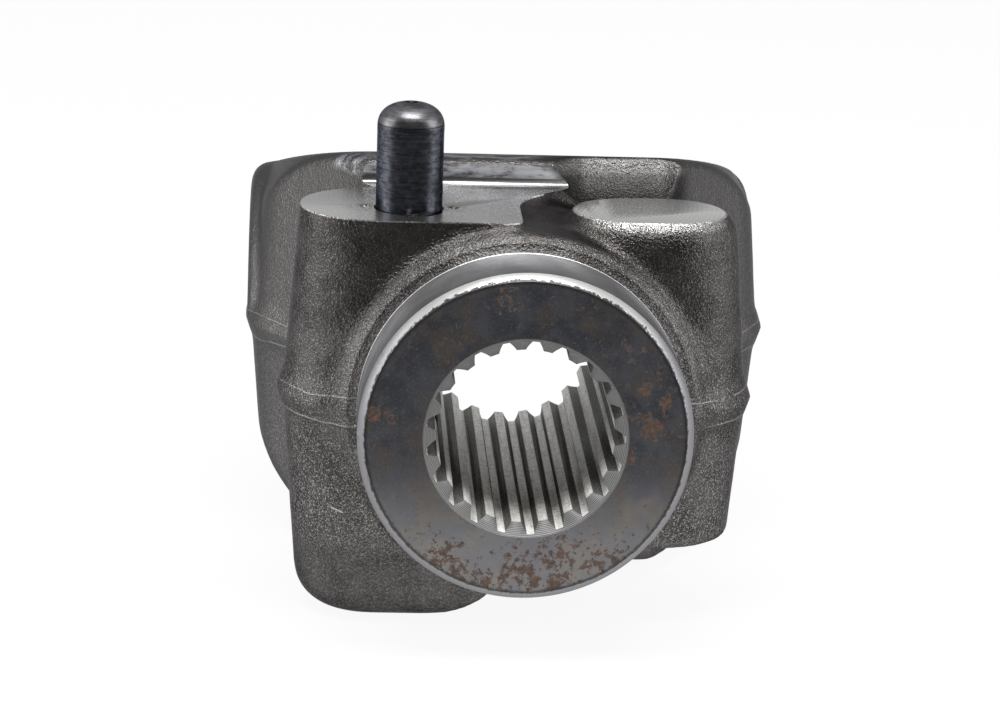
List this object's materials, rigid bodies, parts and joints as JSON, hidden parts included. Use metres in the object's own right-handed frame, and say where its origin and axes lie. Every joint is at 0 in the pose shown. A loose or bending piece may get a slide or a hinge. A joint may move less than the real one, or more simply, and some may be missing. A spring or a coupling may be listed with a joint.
{
  "type": "driveline yoke",
  "caption": "Forged yoke with two bored ears, an internally splined hub and a sprung locking pin in a side boss.",
  "frame": {"origin": "point where the axis of the two ear bores meets the axis of the splined hub", "axes": "+X along the ear bores, +Y from the hub face towards the ears, +Z along the locking pin towards its head"},
  "size_m": [0.103, 0.1334, 0.0959],
  "materials": {
    "forging": "matte",
    "pin": "satin",
    "spring": "satin"
  },
  "bodies": {
    "yoke": {"yoke": "forging", "pin_spring": "spring"},
    "lock_pin": {"lock_pin": "pin"}
  },
  "joints": [
    {"name": "pin_press", "type": "slide", "parent": "yoke", "child": "lock_pin", "axis": [0, 0, -1], "range_m": [0, 0.0188], "stiffness_N_per_m": 800, "springref_m": -0.012, "deforming": ["pin_spring"]}
  ]
}
